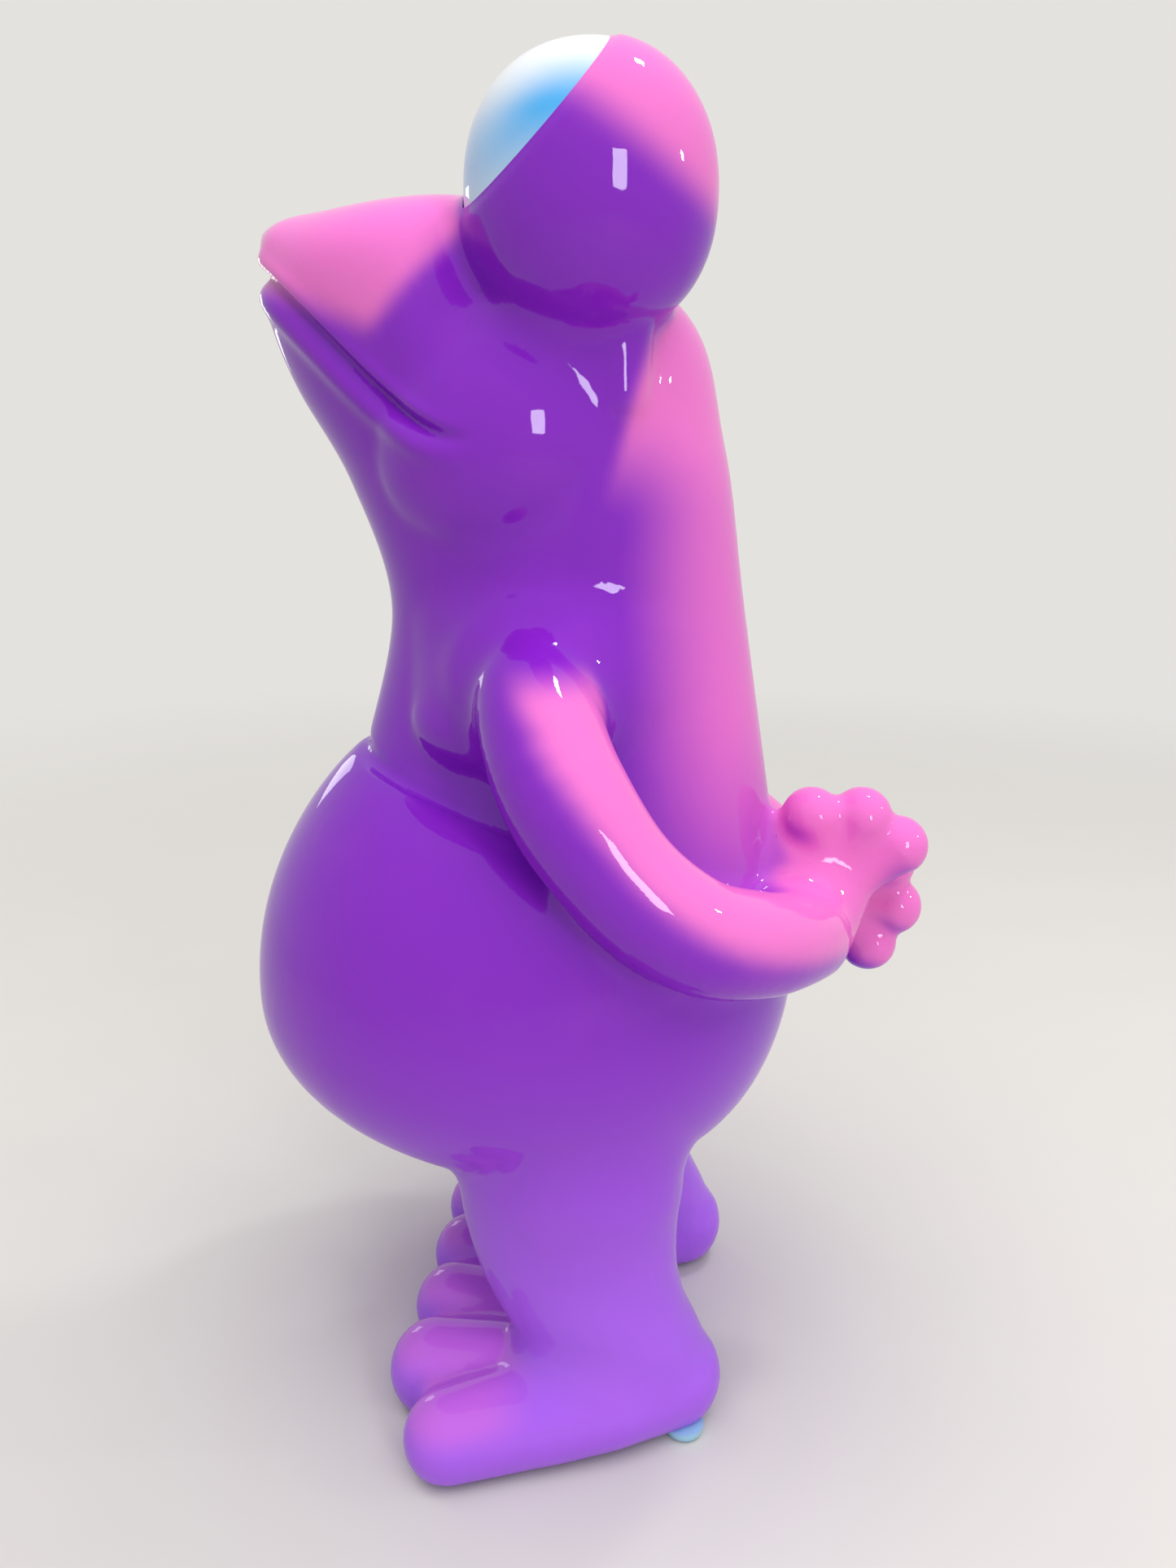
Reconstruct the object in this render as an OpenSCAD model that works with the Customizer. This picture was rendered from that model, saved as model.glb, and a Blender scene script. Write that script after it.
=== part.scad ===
// Standing frog figure: hollow moulded shells that plug together, with clear bumpers under the feet.
// The frog faces -Y, its left side is +X, and Z is up from the floor between its feet.

/* [Shells] */
// Wall of every moulded shell
wall = 3; // [2:0.5:4]
// Gap between a plug or collar and its socket
fit = 0.2; // [0.1:0.05:0.4]
// Length of the collars at the neck and the waist
collar_h = 9; // [5:1:12]

/* [Belly] */
// Height of the belly's widest level
belly_z = 138; // [132:1:144]
// Place of the belly's middle, front to back
belly_y = -21; // [-26:1:-16]
// Front to back size of the belly
belly_depth = 178; // [170:1:184]
// Width of the belly
belly_w = 172; // [160:1:180]
// Height from the widest level down to the crotch
belly_drop = 62; // [56:1:68]

/* [Neck and head] */
// Height of the crease where the chest meets the belly
waist_z = 207; // [201:1:213]
// Width at the waist crease
waist_w = 122; // [114:1:130]
// Width at the narrowest part of the neck
neck_w = 104; // [96:1:112]
// Width of the head at the cheeks
head_w = 114; // [108:1:120]
// Reach of the snout in front of the origin
snout_reach = 97; // [92:1:102]
// Length of the mouth from the tip of the snout to its corner
mouth_len = 72; // [66:1:76]
// Depth of the mouth crease
mouth_depth = 2.4; // [1:0.2:3]

/* [Eyes] */
// Gap between the two eye bulbs
eye_gap = 2; // [1:0.5:6]
// Place of the eyes, front to back
eye_y = 4; // [1:1:7]
// Height of the middle of the eyes above the waist crease
eye_rise = 163; // [160:1:166]
// Radius of an eye bulb round its upright axis
eye_r = 34; // [32:0.5:35]
// Half height of an eye bulb
eye_half_h = 36; // [34:0.5:38]
// Thickness of the eyelid over the eyeball
lid = 1.6; // [1:0.2:3]
// Distance of the eyelid's edge from the middle of the bulb
lid_edge = 22; // [18:1:26]
// Distance that the white dome stands forward in the eyelid
eye_push = 1.5; // [0.5:0.25:2]
// Depth of the white dome behind the eyelid's edge
eye_tuck = 12; // [8:1:16]
// Tilt of the open side of the eyelid above level
lid_tilt = 41; // [30:1:50]
// Turn of the open side of the eyelid away from straight ahead
lid_turn = 22; // [0:1:30]

/* [Arms] */
// Radius of the arm at the shoulder
shoulder_r = 18; // [16:0.5:20]
// Radius of the arm at the wrist
wrist_r = 10.5; // [9:0.5:12]
// Radius of a palm
palm_r = 12; // [11:0.5:13]
// Radius of a finger tip
finger_r = 9; // [8:0.5:10]
// Radius of the shoulder plug
shoulder_plug_r = 9; // [7:0.5:11]

/* [Legs] */
// Half of the distance between the middles of the two legs
leg_x = 42; // [40:1:44]
// Half of the leg's front to back size at the ankle
ankle_d = 30; // [28:0.5:32]
// Half of the leg's width at the ankle
ankle_w = 25; // [23:0.5:27]
// Radius of the hip plug
hip_plug_r = 14; // [10:1:16]
// Radius of a toe
toe_r = 15; // [14:0.5:16]
// Radius of the heel
heel_r = 19; // [17:0.5:21]

/* [Bumpers] */
// Radius of a bumper
bumper_r = 6.3; // [5:0.1:8]
// Height of a bumper
bumper_h = 3.5; // [2:0.5:5]

/* [Hidden] */
ring_n = 40;
limb_n = 24;
// Place of the neck seam, counted in stations
neck_t = 1.5;
column_step = 0.125;
eye_x = eye_r + eye_gap / 2;
eye_z = waist_z + eye_rise;
sole_z = bumper_h;
shoulder_y = -7;
shoulder_z = waist_z + 35;
hip_top = belly_z - 42;
belly_back = belly_y + belly_depth / 2;
belly_side = belly_w / 2;
// Radius of the peg that carries a hand in its wrist
peg_r = wrist_r / 2;

// A station is [front y, front z, back y, back z, half width] of one ring round the body.
column = [
    [-72, waist_z + 14, 63, waist_z - 12, waist_w / 2],
    [-64, waist_z + 52, 49.5, waist_z + 49, neck_w / 2],
    [-74, waist_z + 89, 43, waist_z + 101, neck_w / 2],
    [7 - snout_reach, waist_z + 116, 22.5, waist_z + 143, head_w / 2],
    [2 - snout_reach, waist_z + 133, -26, waist_z + 167, head_w / 2 - 6],
    [-snout_reach, waist_z + 144, 21 - snout_reach, waist_z + 164, head_w / 4 + 3],
    [-snout_reach, waist_z + 150, 4 - snout_reach, waist_z + 159, 13],
];

// Length of the neck collar, counted in stations
collar_t = 2 * collar_h / (column[2][1] - column[1][1] + column[2][3] - column[1][3]);

// A place along the arm is [x, y, z, radius], from inside the chest to the wrist.
arm = [
    [30, -18, waist_z + 67, shoulder_r - 4],
    [45, -15, waist_z + 51, shoulder_r - 1],
    [61, -9, waist_z + 33, shoulder_r - 0.5],
    [belly_side - 11, 2.3, waist_z + 11.5, shoulder_r - 2.5],
    [belly_side - 5, 18.6, waist_z - 10.5, wrist_r + 3],
    [belly_side - 9, belly_back - 31.6, waist_z - 27, wrist_r + 2.5],
    [belly_side - 25, belly_back - 15.3, waist_z - 37.5, wrist_r + 2],
    [39, belly_back - 1.3, waist_z - 44.5, wrist_r + 1],
    [21, belly_back + 3.9, waist_z - 50, wrist_r],
];

// A place along the leg is [z, middle y, half width, half depth].
leg = [
    [sole_z, 20, ankle_w - 7, ankle_d - 3],
    [12, 19, ankle_w - 5, ankle_d],
    [28, 12, ankle_w - 2, ankle_d],
    [41, 5, ankle_w, ankle_d],
    [55, 0.5, ankle_w, ankle_d + 2],
    [70, -1.5, ankle_w + 1, ankle_d + 4],
    [belly_z - 52, -2, ankle_w + 4, ankle_d + 6],
    [belly_z - 30, -6, ankle_w + 5, ankle_d + 8],
];
toes = [[leg_x + 37, -32], [leg_x + 5, -45], [leg_x - 26, -44]];
toe_roots = [[leg_x + 18, -6], [leg_x + 2, -12], [leg_x - 14, -12]];
heel = [leg_x, 29];
bumper_places = [[leg_x + 7, 34], [leg_x + 4, -36]];

function clamp_index(i, list) = max(0, min(len(list) - 1, i));

// A smooth curve through a list of vectors, at a place counted in list steps
function along(list, t) =
    let (i = min(floor(max(t, 0)), len(list) - 2), u = t - i,
         a = list[clamp_index(i - 1, list)], b = list[i], c = list[i + 1], d = list[clamp_index(i + 2, list)])
    b + 0.5 * u * ((c - a) + u * ((2 * a - 5 * b + 4 * c - d) + u * (3 * (b - c) + d - a)));

// One ring of a station, drawn in by an offset and moved by a rise
function ring(s, off = 0, rise = 0) =
    let (a = [s[0], s[1]], b = [s[2], s[3]], c = (a + b) / 2, h = norm(b - a) / 2, u = (b - a) / (2 * h))
    [for (i = [0 : ring_n - 1]) let (q = 360 * i / ring_n)
        [(s[4] - off) * sin(q), c[0] + u[0] * (h - off) * cos(q), c[1] + u[1] * (h - off) * cos(q) + rise]];

// Stations of the belly below and above its widest level, drawn in by an offset
function belly_low(q, off = 0) =
    let (d = belly_depth / 2 - off, w = belly_w / 2 - off, f = pow(cos(q), 1.3), b = pow(cos(q), 0.82),
         z = belly_z - (belly_drop - off) * pow(sin(q), 0.88))
    [belly_y - f * d, z, belly_y + b * d, z, (f + b) * w / 2];
function belly_high(q, off = 0) =
    let (u = sin(q), g = pow(cos(q), 1.7), d = belly_depth / 2, s = column[0], f = belly_y - d, b = belly_y + d)
    [s[0] + (f - s[0]) * g + off, belly_z + (s[1] - belly_z) * u, s[2] + (b - s[2]) * g - off,
     belly_z + (s[3] - belly_z) * u, s[4] + (belly_w / 2 - s[4]) * g - off];

belly_stations = concat([belly_low(87)], [for (q = [80 : -8 : 8]) belly_low(q)],
                        [for (q = [0 : 9 : 90]) belly_high(q)]);
belly_inner = concat([for (q = [45 : -9 : 0]) belly_high(q, wall)], [for (q = [8 : 8 : 80]) belly_low(q, wall)],
                     [belly_low(87, wall)]);

// The column ring that a point of its side lies on, found by halving, and the half width there
function side_gap(t, y, z) =
    let (s = along(column, t))
    (s[2] - s[0]) * (z - s[1]) - (s[3] - s[1]) * (y - s[0]);
function side_t(y, z, low = 0, high = 6, n = 18) =
    let (m = (low + high) / 2)
    n == 0 ? m : side_gap(m, y, z) > 0 ? side_t(y, z, m, high, n - 1) : side_t(y, z, low, m, n - 1);
function side_x(y, z) =
    let (s = along(column, side_t(y, z)), a = [s[0], s[1]], b = [s[2], s[3]],
         k = norm([y, z] - (a + b) / 2) / (norm(b - a) / 2))
    s[4] * sqrt(max(0, 1 - k * k));

function unit(v) = v / norm(v);
// One ring round the arm, drawn in by an offset
function arm_ring(t, off = 0) =
    let (p = along(arm, t), q = along(arm, t + 0.01) - along(arm, t - 0.01), w = unit([q[0], q[1], q[2]]),
         n = unit(cross(w, [0.7, 0.6, 0.4])), b = cross(n, w))
    [for (i = [0 : limb_n - 1]) let (a = 360 * i / limb_n)
        [p[0], p[1], p[2]] + (p[3] - off) * (cos(a) * n + sin(a) * b)];

function leg_ring(t, off = 0) =
    let (p = along(leg, t))
    [for (i = [0 : limb_n - 1]) let (a = 360 * i / limb_n)
        [leg_x + (p[2] - off) * sin(a), p[1] + (p[3] - off) * cos(a), p[0]]];

function middle(points) = [for (k = [0 : 2]) [for (p = points) p[k]] * [for (p = points) 1] / len(points)];

// Triangles between the rings of a list, wound so that the list runs up a solid
function ring_sides(n, m) =
    [for (j = [0 : m - 1], i = [0 : n - 1])
        let (a = j * n + i, b = j * n + (i + 1) % n) each [[a, b, a + n], [b, b + n, a + n]]];

// A solid through a list of rings, closed at both ends
module skin(rings) {
    n = len(rings[0]);
    m = len(rings);
    points = concat([for (r = rings) each r], [middle(rings[0]), middle(rings[m - 1])]);
    caps = [for (i = [0 : n - 1]) let (k = (i + 1) % n)
        each [[m * n, k, i], [m * n + 1, (m - 1) * n + i, (m - 1) * n + k]]];
    polyhedron(points, concat(ring_sides(n, m - 1), caps));
}

// A sleeve through a list of rings that comes back to its first ring
module sleeve(rings) {
    n = len(rings[0]);
    m = len(rings);
    faces = [for (f = ring_sides(n, m)) [for (i = f) i % (m * n)]];
    polyhedron([for (r = rings) each r], faces);
}

module column_envelope() {
    skin([for (t = [0 : column_step : 2.5]) ring(along(column, t))]);
}

module belly_envelope() {
    skin([for (s = belly_stations) ring(s)]);
}

module bulb(off) {
    r = eye_r - off;
    h = eye_half_h - off;
    translate([eye_x, eye_y, eye_z])
        rotate_extrude($fn = 64)
            polygon([for (q = [-90 : 6 : 90]) [r * pow(cos(q), 0.9), h * sign(q) * pow(abs(sin(q)), 0.9)]]);
}

module mirrored() {
    mirror([1, 0, 0]) children();
}

// Groove round the snout from one corner of the mouth to the other
module mouth_groove() {
    places = [for (s = [1 : -0.125 : 0])
        let (y = -snout_reach + 1 + mouth_len * s * s, z = mouth_z(y)) [side_x(y, z), y, z]];
    line = concat(places, [for (i = [len(places) - 2 : -1 : 0]) [-places[i][0], places[i][1], places[i][2]]]);
    rings = [for (j = [0 : len(line) - 1])
        let (w = unit(line[min(j + 1, len(line) - 1)] - line[max(j - 1, 0)]), n = unit(cross(w, [0, 0, 1])),
             b = cross(n, w))
        [for (i = [0 : 7]) line[j] + mouth_depth * (cos(45 * i) * n + sin(45 * i) * b)]];
    skin(rings);
}
function mouth_z(y) = let (u = (y + snout_reach) / mouth_len) waist_z + 153 - 71 * u + 18 * u * u;

module head_shell() {
    outer = [for (t = [neck_t : column_step : 6]) ring(along(column, t))];
    inner = [for (t = [5 : -0.25 : neck_t + 0.1]) ring(along(column, t), wall)];
    seam = along(column, neck_t);
    low = along(column, neck_t - collar_t);
    collar = [
        ring(seam, 2 * wall + fit),
        ring(low, 2 * wall + fit),
        ring(low, wall + fit),
        ring(seam, wall + fit),
    ];
    color("MediumOrchid")
        difference() {
            skin(concat(inner, collar, outer));
            bulb(-fit);
            mirrored() bulb(-fit);
            mouth_groove();
        }
}

module chest_shell() {
    outer = [for (t = [0 : column_step : neck_t]) ring(along(column, t))];
    inner = [for (t = [neck_t : -0.25 : 0.25]) ring(along(column, t), wall)];
    seam = column[0];
    collar = [
        ring(seam, 2 * wall + fit),
        ring(seam, 2 * wall + fit, -collar_h),
        ring(seam, wall + fit, -collar_h),
        ring(seam, wall + fit),
    ];
    color("DarkOrchid")
        difference() {
            sleeve(concat(outer, inner, collar));
            translate([0, shoulder_y, shoulder_z])
                rotate([0, 90, 0])
                    cylinder(r = shoulder_plug_r + fit, h = 200, center = true, $fn = 48);
        }
}

module belly_shell() {
    outer = [for (s = belly_stations) ring(s)];
    lip = [ring(column[0], wall), ring(column[0], wall, -collar_h - 1)];
    inner = [for (s = belly_inner) ring(s)];
    color("DarkOrchid")
        difference() {
            skin(concat(outer, lip, inner));
            translate([leg_x, 0, 0]) cylinder(r = hip_plug_r + fit, h = belly_z, $fn = 48);
            translate([-leg_x, 0, 0]) cylinder(r = hip_plug_r + fit, h = belly_z, $fn = 48);
        }
}

// Everything ahead of a plane that stands across the way the eye looks
module ahead(edge) {
    translate([eye_x, eye_y, eye_z])
        rotate([0, 0, lid_turn])
            rotate([90 - lid_tilt, 0, 0])
                translate([0, 0, edge]) cylinder(r = 80, h = 80);
}

// The bulb's form moved out through the open side of the eyelid
module eyeball(off) {
    way = [sin(lid_turn) * cos(lid_tilt), -cos(lid_turn) * cos(lid_tilt), sin(lid_tilt)];
    translate(eye_push * way) bulb(off);
}

module eyelid() {
    color("Orchid")
        difference() {
            bulb(0);
            bulb(lid);
            eyeball(lid);
            ahead(lid_edge);
        }
}

module eye() {
    color("White")
        intersection() {
            difference() {
                eyeball(lid + fit);
                eyeball(lid + fit + wall);
            }
            ahead(lid_edge - eye_tuck);
        }
}

module left_eyelid() {
    eyelid();
}

module right_eyelid() {
    mirrored() eyelid();
}

module left_eye() {
    eye();
}

module right_eye() {
    mirrored() eye();
}

module ball(p, r) {
    translate(p) sphere(r = r, $fn = 20);
}

module arm_piece() {
    color("HotPink") {
        difference() {
            skin([for (t = [0 : 0.25 : 8]) arm_ring(t)]);
            column_envelope();
            belly_envelope();
            wrist_peg(peg_r + fit);
        }
        translate([neck_w / 2 - 12, shoulder_y, shoulder_z])
            rotate([0, 90, 0])
                cylinder(r = shoulder_plug_r, h = 24, $fn = 48);
    }
}

// The peg of a hand, and with a larger radius the socket for it
module wrist_peg(r) {
    low = along(arm, 7.5);
    high = along(arm, 8);
    hull() {
        ball([low[0], low[1], low[2]], r);
        ball([high[0], high[1], high[2]], r);
    }
}

module left_arm() {
    arm_piece();
}

module right_arm() {
    mirrored() arm_piece();
}

// A hand from its palm and finger tips, counted from the wrist, kept clear of the body and of the other hand
module hand(palm, tips) {
    wrist = along(arm, 8);
    wrist_at = [wrist[0], wrist[1], wrist[2]];
    palm_at = wrist_at + palm;
    difference() {
        union() {
            hull() {
                ball(wrist_at, wrist_r);
                ball(palm_at, palm_r);
            }
            for (p = tips) {
                knuckle = palm_at + 0.62 * (p - palm);
                hull() {
                    ball(palm_at, 0.8 * palm_r);
                    ball(knuckle, finger_r - 1.5);
                }
                hull() {
                    ball(knuckle, finger_r - 1.5);
                    ball(wrist_at + p, finger_r);
                }
            }
        }
        skin([for (t = [6.5 : 0.25 : 8]) arm_ring(t)]);
        column_envelope();
        belly_envelope();
        translate([fit / 2 - 50, 0, 0]) cube([100, 400, 800], center = true);
    }
    wrist_peg(peg_r);
}

module left_hand() {
    color("HotPink") hand([-10.5, 6.5, 12.5], [[-9, -1, 38.5], [-10.5, 14.5, 38.5], [-11, 26, 29.5]]);
}

module right_hand() {
    color("HotPink")
        mirrored() hand([-10.5, 8, 3.5], [[-11, 26, 17.5], [-11, 29, 2.5], [-11, 21.5, -10.5]]);
}

module leg_piece() {
    color("MediumOrchid")
        difference() {
            union() {
                difference() {
                    leg_body();
                    belly_envelope();
                    translate([0, 0, sole_z - 50]) cube([400, 400, 100], center = true);
                }
                translate([leg_x, 0, leg[3][0]]) cylinder(r = hip_plug_r, h = hip_top - leg[3][0], $fn = 48);
            }
            skin([for (t = [1.5 : 0.5 : 4.5]) leg_ring(t, wall + 1)]);
            translate([leg_x, 0, leg[3][0]]) cylinder(r = hip_plug_r - wall, h = 100, $fn = 48);
        }
}

module leg_body() {
    skin([for (t = [0 : 0.25 : 7]) leg_ring(t)]);
    hull() {
        ball([heel[0], heel[1], sole_z + heel_r - 2], heel_r);
        for (p = toe_roots) {
            ball([p[0], p[1], sole_z + toe_r - 1.5], toe_r);
        }
    }
    for (i = [0 : 2]) {
        hull() {
            ball([toe_roots[i][0], toe_roots[i][1], sole_z + toe_r - 1.5], toe_r);
            ball([toes[i][0], toes[i][1], sole_z + toe_r - 1.5], toe_r);
        }
    }
}

module left_leg() {
    leg_piece();
}

module right_leg() {
    mirrored() leg_piece();
}

module bumper() {
    rotate_extrude($fn = 48)
        polygon([[0, 0], [0.6 * bumper_r, 0], [0.85 * bumper_r, 0.2 * bumper_h], [bumper_r, 0.6 * bumper_h],
                 [bumper_r, bumper_h], [0, bumper_h]]);
}

module bumper_feet() {
    color("Gainsboro") {
        for (p = bumper_places) {
            translate([p[0], p[1], 0]) bumper();
            translate([-p[0], p[1], 0]) bumper();
        }
    }
}

head_shell();
chest_shell();
belly_shell();
left_eyelid();
right_eyelid();
left_eye();
right_eye();
left_arm();
right_arm();
left_hand();
right_hand();
left_leg();
right_leg();
bumper_feet();
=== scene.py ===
"""Standing frog figure in gloss lacquer: one skin over lofted forms, cut into its moulded pieces."""

import math

import bmesh
import bpy
import numpy as np
from bpy.props import FloatProperty, FloatVectorProperty, PointerProperty
from bpy.types import Operator, Panel, PropertyGroup
from mathutils import Matrix, Vector


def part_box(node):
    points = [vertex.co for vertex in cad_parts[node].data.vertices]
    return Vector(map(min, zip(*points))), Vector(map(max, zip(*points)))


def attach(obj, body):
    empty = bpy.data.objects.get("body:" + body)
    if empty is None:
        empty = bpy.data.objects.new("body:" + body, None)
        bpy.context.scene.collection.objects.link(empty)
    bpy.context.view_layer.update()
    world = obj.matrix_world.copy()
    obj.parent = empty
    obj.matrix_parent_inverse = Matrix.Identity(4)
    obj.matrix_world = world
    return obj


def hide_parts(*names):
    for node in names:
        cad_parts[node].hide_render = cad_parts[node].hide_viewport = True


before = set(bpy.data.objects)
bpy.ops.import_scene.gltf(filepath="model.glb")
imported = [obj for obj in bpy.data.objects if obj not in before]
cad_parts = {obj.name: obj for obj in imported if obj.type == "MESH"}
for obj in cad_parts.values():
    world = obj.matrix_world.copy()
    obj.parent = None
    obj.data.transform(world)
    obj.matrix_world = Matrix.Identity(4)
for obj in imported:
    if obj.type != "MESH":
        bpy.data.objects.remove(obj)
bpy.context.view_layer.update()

bl_info = {
    "name": "Standing frog figure",
    "version": (1, 0, 0),
    "blender": (4, 5, 0),
    "location": "View3D > Sidebar > Frog",
    "description": "Builds the lacquered skin, eyes, bumpers and stage of a standing frog figure",
    "category": "Object",
}

# Forms are written in millimetres, as the moulded pieces are; meshes are in metres.
MM = 0.001
BODY = "root"
SKIN = "skin"
SHADING = "skin_normal"
FROM_MIDDLE = "from_middle"

# Main places and sizes, most of them shared with the moulded pieces
SOLE_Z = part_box("bumper_feet")[1].z / MM
WAIST_Z = 207
BELLY_Z = 138
BELLY_Y = -21
BELLY_HALF_DEPTH = 89
BELLY_HALF_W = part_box("belly_shell")[1].x / MM
BELLY_DROP = 62
# How much higher the belly is widest at the back than at the front
BELLY_LIFT = 12
SNOUT_REACH = 97
LEG_X = 42
# Depth and width of the crease at the waist
WAIST_DEPTH = 1.6
WAIST_WIDTH = 1.9
# The closed mouth: its length, the curve of its height, and the depth and width of its groove
MOUTH_LEN = 72
MOUTH_CURVE = (75.2, -93.3, -30.4, 149.5)
MOUTH_DEPTH = 2.7
MOUTH_WIDTH = 1.8
# Each lip: how far it stands out, its middle above the groove, and its width
LOWER_LIP = (2.0, -5, 3.4)
UPPER_LIP = (0.9, 3.4, 2.4)
EYE = Vector((35, 4, 370))
# The right bulb sits a little further forward and up than the left one's mirror image.
RIGHT_EYE_SHIFT = Vector((0, -5, 7))
EYE_R = 33.6
EYE_HALF_H = 35.5
# 1 is an ellipse, and less is fuller
BULB_POWER = 0.9
LID_TILT = math.radians(41)
LID_TURN = math.radians(27)
LID_EDGE = 22
LID_CLEARANCE = 0.3
LID_RISE = 0.8

# A station is (front y, front z, back y, back z, half width) of one ring round the body.
COLUMN = (
    (-72, WAIST_Z + 10, 62.5, WAIST_Z - 35, 50),
    (-62.5, WAIST_Z + 52, 49, WAIST_Z + 49, 44.5),
    (-73, WAIST_Z + 89, 41, WAIST_Z + 101, 48.5),
    (9 - SNOUT_REACH, WAIST_Z + 116, 27, WAIST_Z + 140, 50),
    (3 - SNOUT_REACH, WAIST_Z + 132, -24, WAIST_Z + 168, 46),
    (2.5 - SNOUT_REACH, WAIST_Z + 142, 20 - SNOUT_REACH, WAIST_Z + 166.5, 29.5),
    (3 - SNOUT_REACH, WAIST_Z + 149, 2 - SNOUT_REACH, WAIST_Z + 163, 15),
)
NECK_T = 1.5
# Where the head is drawn in under the bulbs: y, z, inner and outer radius, share of its width
TUCK = (-6, 350, 8, 42, 0.26)

# A place along the arm is (x, y, z, radius), from inside the chest to the wrist.
ARM = (
    (24, -15, WAIST_Z + 60, 9),
    (40, -13, WAIST_Z + 46, 11.5),
    (58, -9, WAIST_Z + 30, 16.2),
    (75, 1, WAIST_Z + 10, 17.2),
    (80, 17, WAIST_Z - 11.5, 16),
    (76.5, 35.5, WAIST_Z - 27, 15.8),
    (61, 52.5, WAIST_Z - 35.5, 15.2),
    (39, 66.7, WAIST_Z - 42, 13.5),
    (21, 72, WAIST_Z - 47.5, 12),
)

# Palm and finger tips of each hand, the right one mirrored
LEFT_PALM = (10.5, 78.5, 169.5)
LEFT_TIPS = ((12, 71, 195.5), (10.5, 86.5, 195.5), (10, 98, 186.5))
RIGHT_PALM = (10.5, 80, 160.5)
RIGHT_TIPS = ((10, 98, 174.5), (10, 101, 159.5), (10, 93.5, 146.5))
PALM_R = 12
# The web that carries a hand over into the back
HAND_PAD = (11, 64, 181)
PAD_R = 9
FINGER_R = 9.6

# A place along the leg is (z, middle y, half width, half depth).
LEG = (
    (SOLE_Z, 18, 10, 16),
    (12, 17, 17, 26),
    (28, 12, 23, 29),
    (41, 5, 25, 30),
    (55, 0.5, 25, 32),
    (70, -1.5, 26, 34),
    (86, -2, 29, 36),
    (108, -6, 30, 38),
)
HEEL = ((LEG_X, 30, 13.5), 17.5)
# Each toe is a bar through (x, y, z, radius) rows, outer toe first.
TOES = (
    ((58, 14, 14, 13), (65, -10, 12.5, 14), (74, -36, 11.5, 14)),
    ((45, 6, 14, 14), (46, -18, 13, 15), (46, -46, 12, 15.5)),
    ((28, 0, 14, 13), (20, -22, 13, 14), (15, -46, 12, 14.5)),
)
# The neck of each eye: balls (middle, radius) under the bulb, with its rear edge first
STALK = (((35.5, 11, 320), 9.5), ((34, 10, 338), 11), ((24, -4, 330), 15))
# Eggs (middle, half axes): the cheek behind the mouth, the shoulder that carries the arm's top into
# the chest, and the side of the chest in front of the arm
CHEEK = ((11.5, -22, 309.5), (45, 42, 43))
SHOULDER = ((31.5, -11, 239), (27, 31, 36))
CHEST_SIDE = ((24, -18, 228), (28, 34, 24))
# Hollows that lacquer and clay fill: place, then the inner and outer radius of the filled zone
SHOULDER_FILL = ((48, -8, 252), 36, 56)
HIP_FILL = ((66, 6, 94), 24, 48)
INSTEP_FILL = ((66, 4, 26), 22, 42)
HEEL_FILL = ((42, 40, 30), 18, 34)
CHEEK_FILL = ((50, -14, 306), 30, 44)
WRIST_FILL = ((28, 74, 165), 13, 25)
WEB_FILL = ((10, 69, 180), 6, 13)
# Grain of the coarse skin and of the cutting tools, and rounds of filling on the coarse and fine skin
COARSE_GRAIN = 3
TOOL_GRAIN = 2.5
COARSE_ROUNDS = 140
FINE_ROUNDS = 30
# How far the coarse skin stays inside the forms, and how much further out it comes where it is filled
COARSE_INSET = 0.7
FILL_RISE = 1.1
# How far the cutting tools reach past the forms of hands, arms, bulbs and legs
HAND_ROOM = 1.5
ARM_ROOM = 2.2
BULB_ROOM = 1.0
LEG_ROOM = 2.0

# The edge of the painted light on the nape, from the bulb down the rear of its neck: y and z of a point,
# and slope
NAPE_EDGE = (16, 318, 0.29)
# Strength of the painted light further down the back
NAPE_STRENGTH = 0.85
# The painted light on the top of the snout ends along two lines, each through a point (y, z); the line
# through SNOUT_END is the edge of a painted shadow cast by the eye bulb.
SNOUT_EDGE = (-93, 352)
SNOUT_SLOPE = 0.41
SNOUT_END = (-54, 336)
# The ways that surfaces with painted light face on the bulbs and the arms, as shares of backwards and
# upwards
CROWN_WAY = (0.55, 0.83)
ARM_WAY = (0.6, 0.8)
# Place of the painted light on the wrist, with its inner and outer radius
WRIST_LIT = ((20, 73, 168), 15, 22)
# Strength of the painted light on the toe tops, and the height that it stays below
TOE_STRENGTH = 0.36
TOE_TOP = 34

# Pupil of each eye, seen from the middle of the bulb
PUPIL_WAY = Vector((math.sin(math.radians(-6)) * math.cos(math.radians(28)),
                    -math.cos(math.radians(-6)) * math.cos(math.radians(28)), math.sin(math.radians(28))))
PUPIL_SPREAD = math.radians(14)
# Places of the clear bumpers under one foot, and the rounding of their rims
BUMPERS = ((52, 36), (46, -36))
BUMPER_ROUND = 2.4

# Sizes of the materials' patterns: clouds in the lacquer's painted light and gloss and in the eye white's
# painted shade, orange peel, haze, and grain of the card
LIT_AND_GLOSS_CLOUD = 30
SHADE_CLOUD = 12
ORANGE_PEEL = 2.5
RUBBER_HAZE = 4
CARD_GRAIN = 60

# Stage, in metres, with the camera in millimetres; the focal length is a share of the picture's height.
FLOOR_R = 1.6
WORLD_LIGHT = 0.3
BACKDROP = "E4E2DE"
CAMERA = (372, 38.6, 294.5)
CAMERA_PITCH = math.radians(14)
CAMERA_YAW = math.radians(6)
PHOTO_F = 1447 / 1927
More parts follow.
